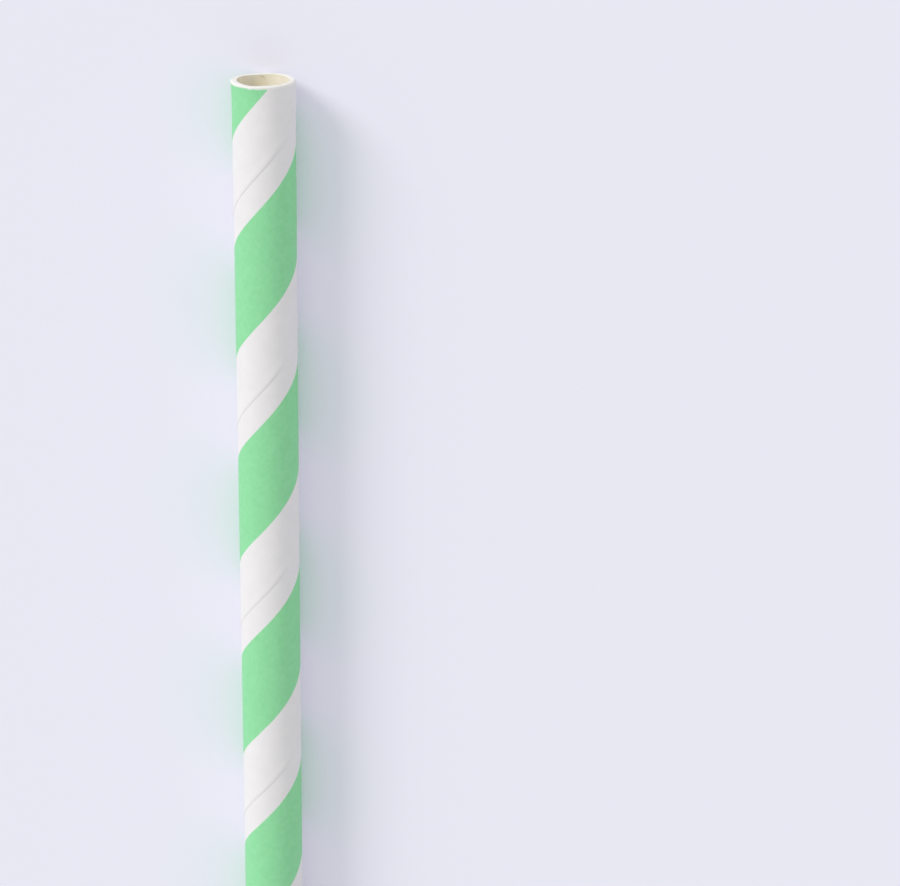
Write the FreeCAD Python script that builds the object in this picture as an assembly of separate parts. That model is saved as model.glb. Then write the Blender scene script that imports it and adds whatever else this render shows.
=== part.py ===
import FreeCAD, Part
import math
import os

# Straight paper drinking straw, in millimetres.
# Three paper strips are wound in a spiral, one over another, and glued into one wall.
# The straw lies along X on z = 0, with its drinking end at +X.

# Overall size
straw_length = 197.0
outer_diameter = 6.0

# Thickness of the three strips
outer_paper = 0.09
middle_paper = 0.18
inner_paper = 0.17

# Slope of a strip's edge against a ring round the straw, in degrees
winding_angle = 49.0

# Joint left between two turns of a strip, measured along the straw
outer_joint = 0.2
inner_joint = 0.35

# Where the two joints meet the drinking end, in degrees round the rim
outer_joint_angle = 224.0
inner_joint_angle = 283.0

# Sizes that follow
outer_radius = outer_diameter / 2
middle_radius = outer_radius - outer_paper
lining_radius = middle_radius - middle_paper
inner_radius = lining_radius - inner_paper
pitch = math.pi * outer_diameter * math.tan(math.radians(winding_angle))
overrun = pitch / 2


# The open joint of one strip: a groove between two radii, wound from below one end of
# the straw to above the other and trimmed to its length.
def joint(near_radius, far_radius, width, end_angle):
    corners = [
        FreeCAD.Vector(near_radius, 0, 0),
        FreeCAD.Vector(far_radius, 0, 0),
        FreeCAD.Vector(far_radius, 0, width),
        FreeCAD.Vector(near_radius, 0, width),
    ]
    section = Part.makePolygon(corners + corners[:1])
    path = Part.makeHelix(pitch, straw_length + 2 * overrun, outer_radius)
    ribbon = Part.Wire(path.Edges).makePipeShell([section], True, True)
    turns_to_end = (straw_length + overrun) / pitch
    upright = FreeCAD.Vector(0, 0, 1)
    ribbon.rotate(FreeCAD.Vector(), upright, end_angle - 360 * turns_to_end)
    ribbon.translate(upright * -overrun)
    return ribbon.common(Part.makeCylinder(outer_diameter, straw_length))


# The glued wall, cut square at both ends
outside = Part.makeCylinder(outer_radius, straw_length)
hollow = Part.makeCylinder(inner_radius, straw_length)
wall = outside.cut(hollow)

# Each joint is as deep as its own strip, and is cut from just outside the wall
beyond_outside = outer_radius + outer_paper
beyond_inside = inner_radius - inner_paper
outer_groove = joint(middle_radius, beyond_outside, outer_joint, outer_joint_angle)
inner_groove = joint(beyond_inside, lining_radius, inner_joint, inner_joint_angle)
straw_tube = wall.cut(outer_groove).cut(inner_groove).Solids[0]

# Lay the straw down along X
along_x = FreeCAD.Rotation(FreeCAD.Vector(1, 1, 1), 120)
resting = FreeCAD.Vector(-straw_length / 2, 0, outer_radius)
straw_tube.Placement = FreeCAD.Placement(resting, along_x)

os.makedirs("parts", exist_ok=True)
straw_tube.exportStep("parts/straw_tube.step")
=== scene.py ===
import math
import bpy
from mathutils import Matrix, Vector, noise


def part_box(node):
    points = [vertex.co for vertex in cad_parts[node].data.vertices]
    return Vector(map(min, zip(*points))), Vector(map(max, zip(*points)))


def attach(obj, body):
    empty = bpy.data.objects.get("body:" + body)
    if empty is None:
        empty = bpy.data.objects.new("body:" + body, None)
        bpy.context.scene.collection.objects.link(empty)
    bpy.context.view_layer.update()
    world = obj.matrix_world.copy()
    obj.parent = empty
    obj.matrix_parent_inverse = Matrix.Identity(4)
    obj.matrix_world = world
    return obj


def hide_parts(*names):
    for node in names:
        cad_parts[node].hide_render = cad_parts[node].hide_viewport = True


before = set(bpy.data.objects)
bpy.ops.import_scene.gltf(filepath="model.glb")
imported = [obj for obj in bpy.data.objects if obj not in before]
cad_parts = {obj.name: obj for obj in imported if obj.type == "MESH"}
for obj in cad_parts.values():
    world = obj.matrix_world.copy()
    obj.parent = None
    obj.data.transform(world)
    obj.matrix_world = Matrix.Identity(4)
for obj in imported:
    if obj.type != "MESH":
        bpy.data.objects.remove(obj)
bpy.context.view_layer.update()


lowCorner, highCorner = (Vector(c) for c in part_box("straw_tube"))
mm = 0.001
fullTurn = 2 * math.pi
print("solid loaded, size in mm:", [round(c / mm, 2) for c in highCorner - lowCorner])

# The straw. Its size and winding are those of the solid.
straw = {
    "radius": 3.0 * mm,
    "wall": 0.44 * mm,
    "windingAngle": 49.0,  # slope of a strip's edge against a ring, degrees
    "seamAngle": 224.0,  # where the outer seam meets the drinking end, degrees
    "liningAngle": 283.0,  # the same for the innermost strip
    "lapHeight": 0.032 * mm,  # the outer strip's edge stands on its own last turn
    "lapEdge": 0.05 * mm,
    "lapWidth": 1.3 * mm,
    "lapFade": 0.8 * mm,
    "tuckWidth": 0.9 * mm,  # the paper dips a little just below the seam
    "tuckShare": 0.2,  # of the lap's height
    "jointGap": 0.35 * mm,  # gap in the innermost strip
    "jointDepth": 0.05 * mm,
    "jointEdge": 0.01 * mm,
    "jointLift": 0.03 * mm,  # the strip's edge above the gap stands up into the bore
    "jointLiftWidth": 1.2 * mm,
    "unevenness": 0.011 * mm,  # soft waviness of the wall
    "unevenLength": 6.0 * mm,
    "unevenAround": 1.3,  # more gives shorter waves round the tube
    "flare": 0.11 * mm,  # the cutter leaves a thick lip, standing out a little
    "burr": 0.07 * mm,  # and in a little
    "flareReach": 0.45 * mm,
    "lipLean": 0.4,  # the lip is thinner on one side by twice this share
    "lipTurn": 0.3,  # radians round the end, as the other turns here
    "oval": 0.03 * mm,  # the ends are slightly out of round
    "ovalReach": 16.0 * mm,
    "ovalTurn": 0.35,
    "rimWave": 0.09 * mm,  # the cut isn't dead straight
    "rimWaveReach": 2.5 * mm,
    "rimSlant": 0.5,  # share of the wave that is one slope across the end
    "rimSlantTurn": 2.0,
    "rimRagged": 0.9,  # share that wanders
    "rimRaggedAround": 1.7,
    "rimRaggedPlace": 9.0,  # another number gives another cut
    "rimBack": 0.4,  # sets the whole cut back a little
    "cutRound": 0.1 * mm,  # crushed outer corner of the cut
    "boreRound": 0.05 * mm,
    "cutFray": 0.014 * mm,  # ragged plies in the cut
    "cutFrayAround": 9.0,  # more gives shorter frays round the cut
    "cutFrayStep": 3.1,  # how unlike each other neighbouring rings are
}

# How the mesh is laid out. Its columns are in mm: above a seam, below the next turn of
# the seam, and how far apart they are in between. Each ring of the cut has two values
# in mm: how far it stands back from the end, and how deep it is in the wall.
layout = {
    "stepsPerTurn": 120,
    "outerColumns": ([0, 0.025, 0.06, 0.4, 0.7, 0.85, 1.0, 1.15, 1.3, 1.7],
                     [0.9, 0.6, 0.35, 0.15, 0.003], 0.95),
    "innerColumns": ([0, 0.02, 0.33, 0.35, 0.5, 0.8, 1.2, 1.6], [1.2, 0.4], 1.6),
    "cutRings": [(0.045, 0.02), (0.012, 0.055), (0, 0.092), (0.02, 0.104), (0.002, 0.118),
                 (0, 0.19), (0.003, 0.262), (0.022, 0.275), (0.002, 0.29), (0, 0.37),
                 (0.015, 0.42)],
    "ringMargin": 0.012 * mm,  # a column that comes this near to an end ring joins it
    "sharpAngle": 38.0,  # degrees
    "sheetLengths": 5,  # the flat map shows the straw in this many lengths
    "sheetGap": 1.3 * mm,
    "sheetCutWidth": 0.06 * mm,
}
halfLength = (highCorner.x - lowCorner.x) / 2
axisHeight = (highCorner.z + lowCorner.z) / 2
girth = fullTurn * straw["radius"]
pitch = girth * math.tan(math.radians(straw["windingAngle"]))
boreRadius = straw["radius"] - straw["wall"]
seamStart = math.radians(straw["seamAngle"])
liningStart = math.radians(straw["liningAngle"])
steps = layout["stepsPerTurn"]


def smooth(low, high, value):
    t = min(max((value - low) / (high - low), 0.0), 1.0)
    return t * t * (3 - 2 * t)


# Radius of the outer skin, by how far up the straw a point is from the seam's edge
def outerRadius(climb):
    edge = 0.5 + 0.5 * smooth(0, straw["lapEdge"], climb)
    fade = 1 - smooth(straw["lapWidth"] - straw["lapFade"], straw["lapWidth"], climb)
    tuck = smooth(pitch - straw["tuckWidth"], pitch, climb) * straw["tuckShare"]
    return straw["radius"] + straw["lapHeight"] * (edge * fade - tuck)


# Radius of the bore, by how far up the straw a point is from the inner joint
def innerRadius(climb):
    gap, edge = straw["jointGap"], straw["jointEdge"]
    if edge < climb < gap - edge:
        return boreRadius + straw["jointDepth"]
    lifted = 1 - smooth(0, straw["jointLiftWidth"], climb - gap + edge)
    return boreRadius - straw["jointLift"] * lifted * (climb > gap / 2)


# Where a point of the ideal tube is on the real, slightly uneven wall
def placed(x, angle, radius):
    end = 1 if x > 0 else -1
    toEnd = max(halfLength - abs(x), 0.0)
    around = Vector((math.cos(angle), math.sin(angle), 0))
    alongStraw = Vector((0, 0, x / straw["unevenLength"]))
    radius += straw["unevenness"] * noise.noise(straw["unevenAround"] * around + alongStraw)

    lean = 1 - straw["lipLean"] + straw["lipLean"] * math.cos(angle - straw["lipTurn"] * end)
    inward = (straw["radius"] - radius) / straw["wall"]
    lip = straw["flare"] * lean * (1 - inward) - straw["burr"] * inward
    radius += lip * math.exp(-toEnd / straw["flareReach"])
    squash = math.cos(2 * (angle - straw["ovalTurn"] * end))
    radius += straw["oval"] * squash * math.exp(-toEnd / straw["ovalReach"])

    slant = straw["rimSlant"] * math.cos(angle + straw["rimSlantTurn"] * end)
    raggedPlace = Vector((0, 0, straw["rimRaggedPlace"] * end))
    ragged = noise.noise(straw["rimRaggedAround"] * around + raggedPlace)
    wave = slant + straw["rimRagged"] * ragged - straw["rimBack"]
    x += end * straw["rimWave"] * wave * math.exp(-toEnd / straw["rimWaveReach"])
    return x, radius * around.x, axisHeight + radius * around.y


def columnsAlong(above, below, spacing):
    above = [c * mm for c in above]
    below = [pitch - c * mm for c in below]
    room = below[0] - above[-1]
    count = round(room / (spacing * mm))
    return above + [above[-1] + room * i / count for i in range(1, count)] + below


# A skin's columns are helices that follow the winding, so the seam is a true step.
# A column that runs past an end meets the ring there instead. The steps g go round the
# straw from the drinking end, 0, down to the other end.
def windSkin(verts, faces, start, climbs, radiusAt, inset, outward):
    rings = {}
    for end in (1, -1):
        for k in range(steps):
            climb = ((end - 1) * halfLength - pitch * k / steps) % pitch
            angle = start + fullTurn * k / steps
            verts.append((end * (halfLength - inset), angle, radiusAt(climb)))
            rings[end, k] = len(verts) - 1
    lowest = -int(2 * halfLength / pitch + 2) * steps
    margin = inset + layout["ringMargin"]
    points = {}

    def corner(column, g):
        if column == len(climbs):  # the first column of the next turn
            column, g = 0, g + steps
        x = halfLength + climbs[column] + pitch * g / steps
        if x > halfLength - margin:
            return rings[1, g % steps]
        if x < margin - halfLength:
            return rings[-1, g % steps]
        if (column, g) not in points:
            verts.append((x, start + fullTurn * g / steps, radiusAt(climbs[column])))
            points[column, g] = len(verts) - 1
        return points[column, g]

    for g in range(lowest, 1):
        around = g % steps
        for column in range(len(climbs)):
            loop = [(corner(column, g), around), (corner(column, g + 1), around + 1),
                    (corner(column + 1, g + 1), around + 1), (corner(column + 1, g), around)]
            loop = [c for i, c in enumerate(loop) if c[0] != loop[i - 1][0]]
            if len(loop) > 2:
                flat = onSheet([verts[v][0] for v, k in loop], [k for v, k in loop], outward)
                face = list(zip([v for v, k in loop], flat))
                faces.append(face if outward else face[::-1])
    return rings


# Where a skin's face lies on the flat map, in metres: the outside's lengths stand one
# over another on the left, the bore's on the right
def onSheet(places, turns, outward):
    gap = layout["sheetGap"]
    part = 2 * halfLength / layout["sheetLengths"]
    number = int((sum(places) / len(places) + halfLength) / part)
    number = min(max(number, 0), layout["sheetLengths"] - 1)
    left = gap + (0 if outward else part + 2 * gap)
    low = gap + number * (girth + gap)
    radius = straw["radius"] if outward else boreRadius
    return [(left + x + halfLength - number * part, low + fullTurn * radius * k / steps)
            for x, k in zip(places, turns)]


# The cut, ring by ring from the outer skin to the lining
def closeEnds(verts, faces, outerRings, innerRings):
    shift = round((liningStart - seamStart) / fullTurn * steps)
    for end in (1, -1):
        before = [outerRings[end, k] for k in range(steps)]
        last = [innerRings[end, (k - shift) % steps] for k in range(steps)]
        for number, (back, depth) in enumerate(layout["cutRings"]):
            share = depth * mm / straw["wall"]
            ring = []
            for k in range(steps):
                angle = seamStart + fullTurn * k / steps
                around = (straw["cutFrayAround"] * math.cos(angle),
                          straw["cutFrayAround"] * math.sin(angle))
                fray = noise.noise(Vector((*around, straw["cutFrayStep"] * number + end)))
                outer = verts[outerRings[end, k]][2]
                inner = verts[last[k]][2]
                x = halfLength - back * mm + straw["cutFray"] * fray
                verts.append((end * x, angle, outer + (inner - outer) * share))
                ring.append(len(verts) - 1)
            joinRings(faces, before, ring, end, number)
            before = ring
        joinRings(faces, before, last, end, len(layout["cutRings"]))


def joinRings(faces, ring, nextRing, end, number):
    gap = layout["sheetGap"]
    left = gap if end > 0 else 2 * gap + girth
    low = gap + layout["sheetLengths"] * (girth + gap)
    for k in range(steps):
        j = (k + 1) % steps
        corners = [(ring[k], k, number), (ring[j], k + 1, number),
                   (nextRing[j], k + 1, number + 1), (nextRing[k], k, number + 1)]
        face = [(v, (left + girth * turn / steps, low + layout["sheetCutWidth"] * row))
                for v, turn, row in corners]
        faces.append(face if end > 0 else face[::-1])


def buildStraw():
    verts, faces = [], []
    outerClimbs = columnsAlong(*layout["outerColumns"])
    innerClimbs = columnsAlong(*layout["innerColumns"])
    outerRings = windSkin(verts, faces, seamStart, outerClimbs, outerRadius,
                          straw["cutRound"], True)
    outerCount = len(faces)
    innerRings = windSkin(verts, faces, liningStart, innerClimbs, innerRadius,
                          straw["boreRound"], False)
    innerCount = len(faces) - outerCount
    print("skins wound:", outerCount, "outside faces,", innerCount, "inside faces")
    closeEnds(verts, faces, outerRings, innerRings)
    cutCount = len(faces) - outerCount - innerCount
    print("ends closed:", cutCount, "faces in the cuts")

    mesh = bpy.data.meshes.new("strawTube")
    mesh.from_pydata([placed(*v) for v in verts], [], [[v for v, place in f] for f in faces])
    kinds = [0] * outerCount + [1] * innerCount + [2] * cutCount
    mesh.polygons.foreach_set("material_index", kinds)
    flat = mesh.uv_layers.new(name="OFBake")
    sheetSize = max(max(max(place) for v, place in f) for f in faces) + layout["sheetGap"]
    flat.data.foreach_set("uv", [c / sheetSize for f in faces for v, place in f for c in place])
    mesh.shade_smooth()
    mesh.set_sharp_from_angle(angle=math.radians(layout["sharpAngle"]))
    rims = set(outerRings.values()) | set(innerRings.values())
    for edge in mesh.edges:
        if rims.issuperset(edge.vertices):
            edge.use_edge_sharp = True  # the skins don't shade into the cut
    mesh.update()
    piece = bpy.data.objects.new("strawTube", mesh)
    bpy.context.collection.objects.link(piece)
    return piece


strawTube = buildStraw()
triangles = sum(len(p.vertices) - 2 for p in strawTube.data.polygons)
print("straw mesh built:", triangles, "triangles")


def newGroup(name, inputs, outputs):
    tree = bpy.data.node_groups.new(name, "ShaderNodeTree")
    for label, kind, value in inputs:
        socket = tree.interface.new_socket(label, in_out="INPUT", socket_type=kind)
        if value is not None:
            socket.default_value = value
    for label, kind in outputs:
        tree.interface.new_socket(label, in_out="OUTPUT", socket_type=kind)
    return tree, tree.nodes.new("NodeGroupInput").outputs, tree.nodes.new("NodeGroupOutput").inputs


def feed(tree, socket, value):
    if isinstance(value, bpy.types.NodeSocket):
        tree.links.new(value, socket)
    else:
        socket.default_value = value


def calc(tree, operation, *values):
    node = tree.nodes.new("ShaderNodeMath")
    node.operation = operation
    for socket, value in zip(node.inputs, values):
        feed(tree, socket, value)
    return node.outputs[0]


def rescale(tree, value, fromRange, low, high, kind="LINEAR"):
    node = tree.nodes.new("ShaderNodeMapRange")
    node.interpolation_type = kind
    feed(tree, node.inputs["Value"], value)
    feed(tree, node.inputs["From Min"], fromRange[0])
    feed(tree, node.inputs["From Max"], fromRange[1])
    feed(tree, node.inputs["To Min"], low)
    feed(tree, node.inputs["To Max"], high)
    return node.outputs["Result"]


# Full up to the range's start, then softly down to nothing at its end
def fadeOut(tree, value, fromRange, full=1.0):
    return rescale(tree, value, fromRange, full, 0.0, "SMOOTHSTEP")


def distanceFrom(tree, value, middle):
    return calc(tree, "ABSOLUTE", calc(tree, "SUBTRACT", value, middle))


def stretched(tree, vector, scale, turn):
    node = tree.nodes.new("ShaderNodeMapping")
    feed(tree, node.inputs["Vector"], vector)
    node.inputs["Scale"].default_value = scale
    node.inputs["Rotation"].default_value = (0, 0, turn)
    return node.outputs["Vector"]


# Noise from 0 to 1. Its scale is in waves per metre of paper.
def speckle(tree, vector, scale, detail, rough=0.5):
    node = tree.nodes.new("ShaderNodeTexNoise")
    feed(tree, node.inputs["Vector"], vector)
    node.inputs["Scale"].default_value = scale
    node.inputs["Detail"].default_value = detail
    node.inputs["Roughness"].default_value = rough
    return node.outputs["Fac"]


def blendColour(tree, amount, first, second, way="MIX"):
    node = tree.nodes.new("ShaderNodeMix")
    node.data_type = "RGBA"
    node.blend_type = way
    colours = [s for s in node.inputs if s.type == "RGBA"]
    feed(tree, node.inputs[0], amount)
    for socket, value in zip(colours, (first, second)):
        feed(tree, socket, value if isinstance(value, bpy.types.NodeSocket) else (*value, 1.0))
    return [s for s in node.outputs if s.type == "RGBA"][0]


def toned(tree, colour, tone):
    grey = tree.nodes.new("ShaderNodeCombineColor")
    for socket in grey.inputs:
        feed(tree, socket, tone)
    return blendColour(tree, 1.0, colour, grey.outputs[0], "MULTIPLY")


# Where a point lies on its wound strip. Climb is the distance up the straw from the
# strip's lower edge, Strip the place on the flattened strip (along it, then across),
# Depth the distance from the straw's axis and From End that from the nearer cut.
def makeWindingPlace():
    tree, given, result = newGroup(
        "windingPlace",
        [("Pitch", "NodeSocketFloat", pitch),
         ("Half Length", "NodeSocketFloat", halfLength),
         ("Axis Height", "NodeSocketFloat", axisHeight),
         ("Radius", "NodeSocketFloat", straw["radius"]),
         ("Start Angle", "NodeSocketFloat", seamStart),
         ("Winding Angle", "NodeSocketFloat", math.radians(straw["windingAngle"]))],
        [("Climb", "NodeSocketFloat"), ("Strip", "NodeSocketVector"),
         ("Depth", "NodeSocketFloat"), ("From End", "NodeSocketFloat")],
    )
    parts = tree.nodes.new("ShaderNodeSeparateXYZ")
    feed(tree, parts.inputs[0], tree.nodes.new("ShaderNodeTexCoord").outputs["Object"])
    x, y, z = parts.outputs
    up = calc(tree, "SUBTRACT", z, given["Axis Height"])
    angle = calc(tree, "SUBTRACT", calc(tree, "ARCTAN2", up, y), given["Start Angle"])
    turns = calc(tree, "DIVIDE", angle, fullTurn)
    drop = calc(tree, "SUBTRACT", x, given["Half Length"])
    level = calc(tree, "SUBTRACT", calc(tree, "DIVIDE", drop, given["Pitch"]), turns)
    climb = calc(tree, "MULTIPLY", calc(tree, "FRACT", level), given["Pitch"])

    wound = calc(tree, "ADD", turns, calc(tree, "FLOOR", level))
    arc = calc(tree, "MULTIPLY", calc(tree, "MULTIPLY", wound, fullTurn), given["Radius"])
    flat = calc(tree, "COSINE", given["Winding Angle"])
    steep = calc(tree, "SINE", given["Winding Angle"])
    strip = tree.nodes.new("ShaderNodeCombineXYZ")
    feed(tree, strip.inputs[0], calc(tree, "ADD", calc(tree, "MULTIPLY", arc, flat),
                                     calc(tree, "MULTIPLY", drop, steep)))
    feed(tree, strip.inputs[1], calc(tree, "MULTIPLY", climb, flat))
    square = calc(tree, "ADD", calc(tree, "MULTIPLY", y, y), calc(tree, "MULTIPLY", up, up))
    fromMiddle = calc(tree, "ABSOLUTE", x)
    feed(tree, result["Climb"], climb)
    feed(tree, result["Strip"], strip.outputs[0])
    feed(tree, result["Depth"], calc(tree, "SQRT", square))
    feed(tree, result["From End"], calc(tree, "SUBTRACT", given["Half Length"], fromMiddle))
    return tree


# Paper seen close: short fibres, mostly along the strip, on a faintly cloudy sheet.
# Each set of fibres has its waves per metre, its turn, its detail and its roughness.
fibrePaper = {
    "lengthwise": ((1100, 6500, 3000), 0.0, 3.0, 0.6),
    "slanting": ((1700, 7500, 3000), 0.8, 2.0, 0.6),
    "crossing": ((1900, 6000, 3000), -0.7, 2.0, 0.5),
    "fibreShare": 0.6,  # the rest is grit
    "gritScale": 9000.0,
    "cloudScale": 650.0,
    "cloudRoughness": 0.55,
    "shadeRange": (0.3, 0.7),  # nearly all of the grain's shade lies between these
}


def makePaperGrain():
    tree, given, result = newGroup(
        "paperGrain",
        [("Vector", "NodeSocketVector", None), ("Fineness", "NodeSocketFloat", 1.0),
         ("Cloud", "NodeSocketFloat", 0.4)],
        [("Shade", "NodeSocketFloat"), ("Height", "NodeSocketFloat")],
    )
    scaled = tree.nodes.new("ShaderNodeVectorMath")
    scaled.operation = "SCALE"
    feed(tree, scaled.inputs[0], given["Vector"])
    feed(tree, scaled.inputs["Scale"], given["Fineness"])
    paper = scaled.outputs[0]
    fibres = 0.0
    for way in ("lengthwise", "slanting", "crossing"):
        scale, turn, detail, rough = fibrePaper[way]
        spread = speckle(tree, stretched(tree, paper, scale, turn), 1.0, detail, rough)
        fibres = calc(tree, "MAXIMUM", spread, fibres)
    grit = speckle(tree, paper, fibrePaper["gritScale"], 1.0)
    cloud = speckle(tree, paper, fibrePaper["cloudScale"], 3.0, fibrePaper["cloudRoughness"])
    share = fibrePaper["fibreShare"]
    close = calc(tree, "ADD", calc(tree, "MULTIPLY", fibres, share),
                 calc(tree, "MULTIPLY", grit, 1.0 - share))
    towardsCloud = calc(tree, "SUBTRACT", cloud, close)
    clouded = calc(tree, "MULTIPLY", towardsCloud, given["Cloud"])
    feed(tree, result["Shade"], calc(tree, "ADD", close, clouded))
    feed(tree, result["Height"], close)
    return tree


windingPlace = makeWindingPlace()
paperGrain = makePaperGrain()
print("shader groups made:", windingPlace.name, paperGrain.name)


def startMaterial(name, look, startAngle, radius):
    material = bpy.data.materials.new(name)
    material.use_nodes = True
    tree = material.node_tree
    place = tree.nodes.new("ShaderNodeGroup")
    place.node_tree = windingPlace
    place.inputs["Start Angle"].default_value = startAngle
    place.inputs["Radius"].default_value = radius
    grain = tree.nodes.new("ShaderNodeGroup")
    grain.node_tree = paperGrain
    grain.inputs["Fineness"].default_value = look["grainFineness"]
    grain.inputs["Cloud"].default_value = look["grainCloud"]
    feed(tree, grain.inputs["Vector"], place.outputs["Strip"])
    return material, tree, place.outputs, grain


def byGrain(tree, grain, low, high):
    return rescale(tree, grain.outputs["Shade"], fibrePaper["shadeRange"], low, high)


def grainTone(tree, grain, look):
    return byGrain(tree, grain, 1.0 - look["grainDark"], 1.0 + look["grainLight"])


def finishPaper(tree, grain, look, colour, rough):
    surface = tree.nodes["Principled BSDF"]
    feed(tree, surface.inputs["Base Color"], colour)
    feed(tree, surface.inputs["Roughness"], rough)
    surface.inputs["Specular IOR Level"].default_value = look["specular"]
    bump = tree.nodes.new("ShaderNodeBump")
    bump.inputs["Strength"].default_value = look["grainBump"]
    bump.inputs["Distance"].default_value = look["bumpHeight"]
    feed(tree, bump.inputs["Height"], grain.outputs["Height"])
    feed(tree, surface.inputs["Normal"], bump.outputs["Normal"])


# The printed outer strip: white paper with one broad mint stripe. Scales are in waves
# per metre of paper, and a range holds the two noise values that something fades between.
printed = {
    "white": (0.872, 0.862, 0.868),
    "mint": (0.302, 0.786, 0.401),
    "deepMint": (0.268, 0.747, 0.358),
    "rawWhite": (0.925, 0.925, 0.895),  # bare paper along the cut
    "stripeFrom": 0.3245,  # share of the strip's width, from the seam
    "stripeTo": 0.8431,
    "stripeSoftness": 0.05 * mm,
    "stripeWobble": 0.07 * mm,
    "wobbleScale": 420.0,
    "wobbleFineScale": 4200.0,
    "mottleScale": 1500.0,
    "mottleRoughness": 0.65,
    "mottleRange": (0.35, 0.68),
    "inkSkip": 0.12,  # how much the paper shows through the ink
    "inkSkipRange": (0.56, 0.72),
    "grainFineness": 1.0,
    "grainCloud": 0.45,
    "grainDark": 0.05,  # the grain darkens the colour by up to this share
    "grainLight": 0.03,  # and lightens it by up to this one
    "paperRoughness": 0.78,
    "inkRoughness": 0.58,
    "grainRoughness": 0.04,
    # painted shade along the seam's step and where the lap ends
    "seamShade": 0.07,
    "seamShadeWidth": 0.14 * mm,
    "seamShadeBreak": 0.8,  # how far the painted seam shade fades in places
    "seamShadeBreakScale": 800.0,
    "seamShadeBreakRange": (0.38, 0.58),
    "lapEndShade": 0.015,
    "lapEndWidth": 0.22 * mm,
    "lapEndBack": 0.3 * mm,  # its painted shade line is this far inside the lap
    "bareTo": 0.204 * mm,  # no ink up to here from the cut
    "inkFrom": 0.425 * mm,  # full ink from here
    "bareRagged": 0.45 * mm,
    "bareScale": 900.0,
    "bareRoughness": 0.6,
    "grainBump": 0.30,
    "bumpHeight": 0.02 * mm,
    "specular": 0.4,
}


def makePrintedPaper():
    look = printed
    material, tree, place, grain = startMaterial("printedPaper", look, seamStart,
                                                 straw["radius"])
    strip, climb = place["Strip"], place["Climb"]
    middle = pitch * (look["stripeFrom"] + look["stripeTo"]) / 2
    half = pitch * (look["stripeTo"] - look["stripeFrom"]) / 2
    wander = calc(tree, "ADD", speckle(tree, strip, look["wobbleScale"], 1.0),
                  speckle(tree, strip, look["wobbleFineScale"], 2.0))
    wander = calc(tree, "SUBTRACT", wander, 1.0)
    wander = calc(tree, "MULTIPLY", wander, look["stripeWobble"])
    past = calc(tree, "SUBTRACT", distanceFrom(tree, climb, middle), half)
    past = calc(tree, "ADD", past, wander)
    stripe = fadeOut(tree, past, (-look["stripeSoftness"], look["stripeSoftness"]))

    # the ink is a little uneven, and skips the odd high fibre
    mottle = speckle(tree, strip, look["mottleScale"], 4.0, look["mottleRoughness"])
    mottle = rescale(tree, mottle, look["mottleRange"], 0.0, 1.0)
    ink = blendColour(tree, mottle, look["mint"], look["deepMint"])
    skip = rescale(tree, grain.outputs["Height"], look["inkSkipRange"], 0.0, look["inkSkip"])
    cover = calc(tree, "MULTIPLY", stripe, calc(tree, "SUBTRACT", 1.0, skip))
    colour = blendColour(tree, cover, look["white"], ink)

    # painted shade: a thin broken dark line just below the seam's step, and a fainter one where
    # the lap ends
    below = calc(tree, "SUBTRACT", pitch, climb)
    seamShade = fadeOut(tree, below, (0.0, look["seamShadeWidth"]), look["seamShade"])
    seamShadeBreakup = speckle(tree, strip, look["seamShadeBreakScale"], 3.0)
    seamShadeBreakup = rescale(tree, seamShadeBreakup, look["seamShadeBreakRange"], 1.0 - look["seamShadeBreak"], 1.0)
    seamShade = calc(tree, "MULTIPLY", seamShade, seamShadeBreakup)
    lapEnd = distanceFrom(tree, climb, straw["lapWidth"] - look["lapEndBack"])
    lapShade = fadeOut(tree, lapEnd, (0.0, look["lapEndWidth"]), look["lapEndShade"])
    dark = calc(tree, "SUBTRACT", 1.0, calc(tree, "ADD", seamShade, lapShade))
    tone = calc(tree, "MULTIPLY", grainTone(tree, grain, look), dark)
    colour = toned(tree, colour, tone)

    # along the cut the ink is rubbed off to a ragged edge
    ragged = speckle(tree, strip, look["bareScale"], 4.0, look["bareRoughness"])
    ragged = calc(tree, "SUBTRACT", ragged, 0.5)
    ragged = calc(tree, "MULTIPLY", ragged, look["bareRagged"])
    edge = calc(tree, "ADD", place["From End"], ragged)
    bare = fadeOut(tree, edge, (look["bareTo"], look["inkFrom"]))
    colour = blendColour(tree, bare, colour, look["rawWhite"])
    rough = rescale(tree, stripe, (0.0, 1.0), look["paperRoughness"], look["inkRoughness"])
    grainRough = byGrain(tree, grain, look["grainRoughness"], -look["grainRoughness"])
    finishPaper(tree, grain, look, colour, calc(tree, "ADD", rough, grainRough))
    return material


# The unprinted strip inside the bore
liner = {
    "cream": (0.980, 0.916, 0.728),
    "pale": (0.985, 0.945, 0.832),
    "patchScale": 300.0,
    "patchRange": (0.35, 0.65),
    # painted shade in the floor of the gap in the innermost strip
    "jointShade": 0.02,
    "jointShadeRange": (0.4, 0.65),  # shares of the gap, from its middle
    "grainFineness": 0.8,
    "grainCloud": 0.4,
    "grainDark": 0.07,
    "grainLight": 0.035,
    "roughness": 0.85,
    "grainRoughness": 0.05,
    "grainBump": 0.4,
    "bumpHeight": 0.03 * mm,
    "specular": 0.2,
}


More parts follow.
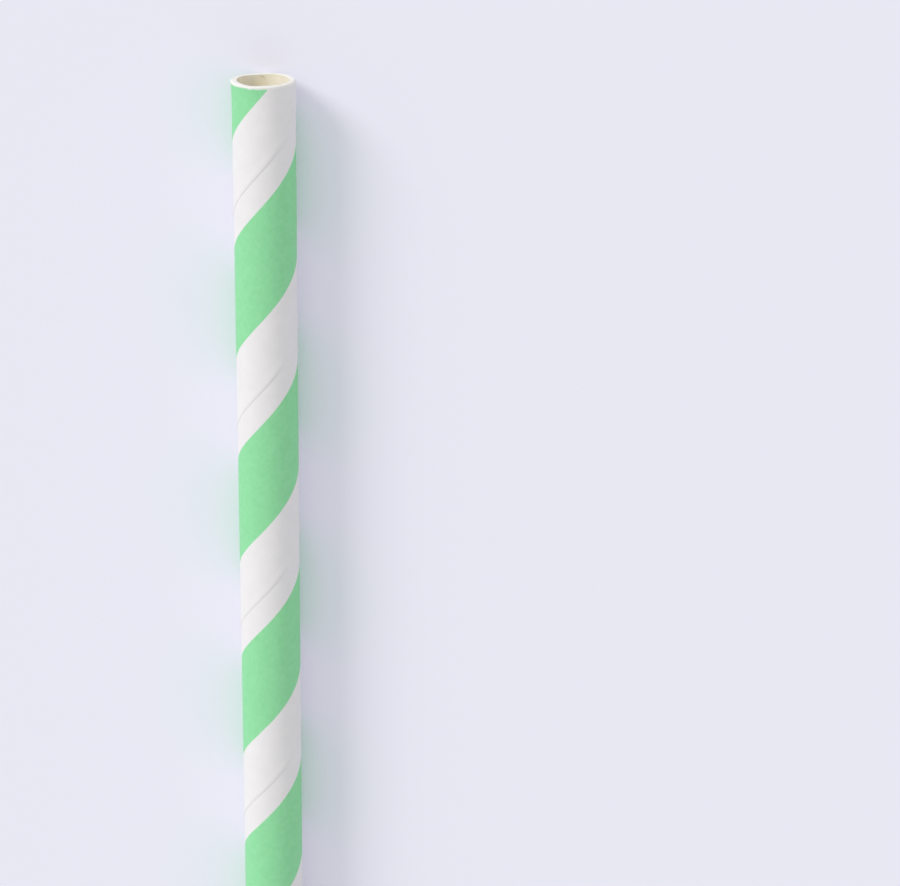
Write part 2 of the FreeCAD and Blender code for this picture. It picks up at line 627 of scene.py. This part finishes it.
def makeLiningPaper():
    look = liner
    material, tree, place, grain = startMaterial("liningPaper", look, liningStart, boreRadius)
    patches = speckle(tree, place["Strip"], look["patchScale"], 3.0)
    patches = rescale(tree, patches, look["patchRange"], 0.0, 1.0)
    colour = blendColour(tree, patches, look["cream"], look["pale"])
    # painted shade, darkest at the middle of the joint's gap
    fromGap = distanceFrom(tree, place["Climb"], straw["jointGap"] / 2)
    shadeRange = [straw["jointGap"] * share for share in look["jointShadeRange"]]
    shade = rescale(tree, fromGap, shadeRange, look["jointShade"], 0.0)
    light = calc(tree, "SUBTRACT", 1.0, shade)
    tone = calc(tree, "MULTIPLY", grainTone(tree, grain, look), light)
    rough = byGrain(tree, grain, look["roughness"] + look["grainRoughness"],
                    look["roughness"] - look["grainRoughness"])
    finishPaper(tree, grain, look, toned(tree, colour, tone), rough)
    return material


# The square cut through the three strips
cutEdge = {
    "white": (0.93, 0.925, 0.885),
    "glue": (0.72, 0.68, 0.58),
    "plyDepths": (0.104 * mm, 0.275 * mm),  # glue lines, in from the outside
    "plyLineWidth": 0.022 * mm,
    "plyLineStrength": 0.6,
    "plyWander": 0.05 * mm,
    "plyWanderScale": 1800.0,
    "plyBrokenScale": 1300.0,
    "plyBrokenRange": (0.35, 0.6),
    "plyFaintest": 0.25,
    "grainFineness": 1.6,
    "grainCloud": 0.4,
    "grainDark": 0.10,
    "grainLight": 0.04,
    "roughness": 0.86,
    "grainRoughness": 0.04,
    "grainBump": 0.6,
    "bumpHeight": 0.03 * mm,
    "specular": 0.15,
}


def makeCutPaper():
    look = cutEdge
    material, tree, place, grain = startMaterial("cutPaper", look, seamStart, straw["radius"])
    spot = tree.nodes.new("ShaderNodeTexCoord").outputs["Object"]
    feed(tree, grain.inputs["Vector"], spot)  # in place of the wound strip's
    wander = calc(tree, "SUBTRACT", speckle(tree, spot, look["plyWanderScale"], 3.0), 0.5)
    wander = calc(tree, "MULTIPLY", wander, look["plyWander"])
    depth = calc(tree, "SUBTRACT", straw["radius"], place["Depth"])
    depth = calc(tree, "ADD", depth, wander)
    lines = 0.0
    for plyDepth in look["plyDepths"]:
        away = distanceFrom(tree, depth, plyDepth)
        line = fadeOut(tree, away, (0.0, look["plyLineWidth"]), look["plyLineStrength"])
        lines = calc(tree, "ADD", line, lines)
    broken = speckle(tree, spot, look["plyBrokenScale"], 3.0)
    broken = rescale(tree, broken, look["plyBrokenRange"], look["plyFaintest"], 1.0)
    glued = calc(tree, "MULTIPLY", lines, broken)
    colour = blendColour(tree, glued, look["white"], look["glue"])
    rough = byGrain(tree, grain, look["roughness"] + look["grainRoughness"],
                    look["roughness"] - look["grainRoughness"])
    colour = toned(tree, colour, grainTone(tree, grain, look))
    finishPaper(tree, grain, look, colour, rough)
    return material


# The mesh's faces go by this order: outside, bore, cut
for maker in (makePrintedPaper, makeLiningPaper, makeCutPaper):
    strawTube.data.materials.append(maker())
print("materials made:", [m.name for m in strawTube.data.materials])

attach(strawTube, "root")
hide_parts("straw_tube")

# A pale floor, one soft lamp from the side and an even fill
studio = {
    "floorColour": (0.875, 0.880, 0.975),
    "floorGlow": (0.061, 0.061, 0.079),  # seen by the camera only
    "floorSize": 3.0,
    "floorGap": 0.05 * mm,  # below the lapped edge
    "floorRoughness": 0.9,
    "backdropColour": (0.807, 0.807, 0.896),
    "fillColour": (1.0, 0.995, 1.0),
    "fillStrength": 0.65,
    "sunFrom": (0.76, 0.82, 0.54),  # towards the lamp
    "sunStrength": 1.48,
    "sunSoftness": 24.0,  # degrees
    "sunColour": (1.0, 0.985, 0.95),
}


def makeFloor():
    half = studio["floorSize"] / 2
    low = -(straw["lapHeight"] + studio["floorGap"])
    corners = [(-half, -half, low), (half, -half, low), (half, half, low), (-half, half, low)]
    mesh = bpy.data.meshes.new("floor")
    mesh.from_pydata(corners, [], [(0, 1, 2, 3)])
    floor = bpy.data.objects.new("floor", mesh)
    bpy.context.collection.objects.link(floor)
    material = bpy.data.materials.new("floorPaint")
    material.use_nodes = True
    tree = material.node_tree
    surface = tree.nodes["Principled BSDF"]
    surface.inputs["Roughness"].default_value = studio["floorRoughness"]
    surface.inputs["Specular IOR Level"].default_value = 0.0
    surface.inputs["Base Color"].default_value = (*studio["floorColour"], 1.0)
    surface.inputs["Emission Color"].default_value = (*studio["floorGlow"], 1.0)
    cameraRay = tree.nodes.new("ShaderNodeLightPath").outputs["Is Camera Ray"]
    feed(tree, surface.inputs["Emission Strength"], cameraRay)
    mesh.materials.append(material)


# A soft fill from all round. What the camera and reflections see has its own colour.
def makeRoom():
    world = bpy.data.worlds.new("softRoom")
    bpy.context.scene.world = world
    world.use_nodes = True
    tree = world.node_tree
    fill = tree.nodes["Background"]
    fill.inputs["Color"].default_value = (*studio["fillColour"], 1.0)
    fill.inputs["Strength"].default_value = studio["fillStrength"]
    seen = tree.nodes.new("ShaderNodeBackground")
    seen.inputs["Color"].default_value = (*studio["backdropColour"], 1.0)
    path = tree.nodes.new("ShaderNodeLightPath").outputs
    direct = calc(tree, "MAXIMUM", path["Is Camera Ray"], path["Is Glossy Ray"])
    direct = calc(tree, "MAXIMUM", direct, path["Is Transmission Ray"])
    choose = tree.nodes.new("ShaderNodeMixShader")
    feed(tree, choose.inputs[0], direct)
    feed(tree, choose.inputs[1], fill.outputs[0])
    feed(tree, choose.inputs[2], seen.outputs[0])
    feed(tree, tree.nodes["World Output"].inputs["Surface"], choose.outputs[0])


def makeLamp():
    lamp = bpy.data.lights.new("windowLight", "SUN")
    lamp.energy = studio["sunStrength"]
    lamp.angle = math.radians(studio["sunSoftness"])
    lamp.color = studio["sunColour"]
    holder = bpy.data.objects.new("windowLight", lamp)
    holder.rotation_euler = Vector(studio["sunFrom"]).to_track_quat("Z", "Y").to_euler()
    bpy.context.collection.objects.link(holder)


# The camera looks down on the lying straw as the photograph looks at it standing:
# the drinking end is up in the frame, and the view leans into its opening.
view = {
    "place": (152.26 * mm, -17.47 * mm, 240.06 * mm),
    "tilt": -20.806,  # degrees
    "pan": -0.128,
    "roll": 0.785,
    "lens": 102.43,
    "sensorWidth": 36.0,
    "nearest": 0.01,
    "farthest": 50.0,
}


def makeCamera():
    data = bpy.data.cameras.new("camera")
    data.lens = view["lens"]
    data.sensor_width = view["sensorWidth"]
    data.clip_start = view["nearest"]
    data.clip_end = view["farthest"]
    camera = bpy.data.objects.new("camera", data)
    turned = Matrix(((0, 1, 0), (-1, 0, 0), (0, 0, 1)))  # frame up is +X, frame right is -Y
    for name, axis in (("pan", "Y"), ("tilt", "X"), ("roll", "Z")):
        turned = turned @ Matrix.Rotation(math.radians(view[name]), 3, axis)
    camera.matrix_world = Matrix.Translation(view["place"]) @ turned.to_4x4()
    bpy.context.collection.objects.link(camera)
    bpy.context.scene.camera = camera


makeFloor()
makeRoom()
makeLamp()
makeCamera()
bpy.context.scene.view_settings.view_transform = "Standard"
print("studio and camera placed")

bpy.context.view_layer.update()
